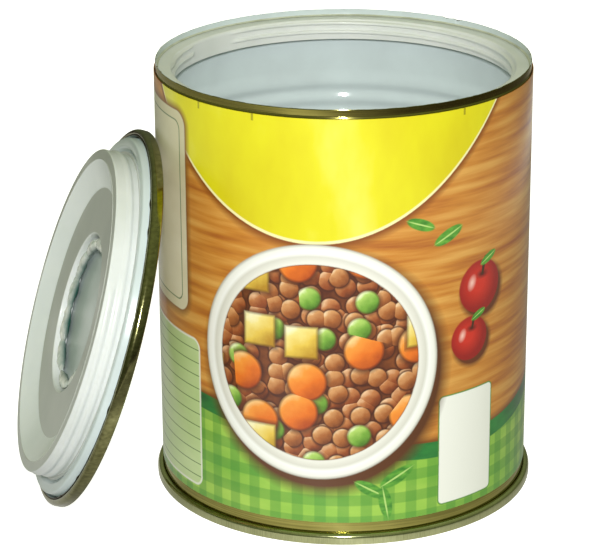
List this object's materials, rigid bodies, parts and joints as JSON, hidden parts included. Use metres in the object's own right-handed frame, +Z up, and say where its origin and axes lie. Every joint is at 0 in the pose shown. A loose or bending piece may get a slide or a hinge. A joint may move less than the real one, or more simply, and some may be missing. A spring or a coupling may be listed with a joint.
{
  "type": "can diversion safe",
  "caption": "Food can made into a hiding place: steel can with a paper label, a threaded plastic collar in its mouth, and a screw lid made of its own cut-off end and a plug.",
  "frame": {"origin": "centre of the whole object's bounding box in X and Y, on the floor plane", "axes": "+Z up along the can's axis, +X from the leaning lid towards the can, +Y to the back"},
  "size_m": [0.1404, 0.1024, 0.117],
  "materials": {
    "tinplate": "gold-lacquered tinplate, glossy",
    "lacquered_steel": "tinplate with a pale grey-blue lacquer on the inner side",
    "seam_compound": "matt sealing compound",
    "label_paper": null,
    "moulded_plastic": "satin injection-moulded plastic",
    "hot_glue": "glossy set hot-melt glue"
  },
  "bodies": {
    "can": {"can_body": "tinplate", "bottom_end": "tinplate", "bottom_seam_compound": "seam_compound", "paper_label": "label_paper", "threaded_collar": "moulded_plastic", "collar_glue": "hot_glue"},
    "lid_carrier": {"outer_glue_bead": "hot_glue"},
    "lid_screw": {"inner_glue_bead": "hot_glue"},
    "lid": {"lid_end": "lacquered_steel", "lid_body_hook": "tinplate", "lid_seam_compound": "seam_compound", "threaded_plug": "moulded_plastic", "plug_glue_blob_1": "hot_glue", "plug_glue_blob_2": "hot_glue", "plug_glue_blob_3": "hot_glue", "plug_glue_blob_4": "hot_glue", "plug_glue_blob_5": "hot_glue", "plug_glue_blob_6": "hot_glue", "plug_glue_blob_7": "hot_glue", "plug_glue_blob_8": "hot_glue", "plug_glue_blob_9": "hot_glue", "plug_glue_blob_10": "hot_glue"}
  },
  "joints": [
    {"name": "lid_swing", "type": "hinge", "parent": "can", "child": "lid_carrier", "pos_m": [-0.04171, 0, 0.11092], "axis": [0, 1, 0], "range_deg": [0, 251.88]},
    {"name": "lid_advance", "type": "slide", "parent": "lid_carrier", "child": "lid_screw", "axis": [-0.9504, 0, 0.311], "range_m": [0, 0.005]},
    {"name": "lid_turn", "type": "hinge", "parent": "lid_screw", "child": "lid", "pos_m": [-0.04975, 0, 0.04974], "axis": [-0.9504, 0, 0.311], "range_deg": [0, 720]}
  ],
  "couplings": [
    {"joint": "lid_advance", "follows": "lid_turn", "m_per_rad": 0.00039788}
  ]
}
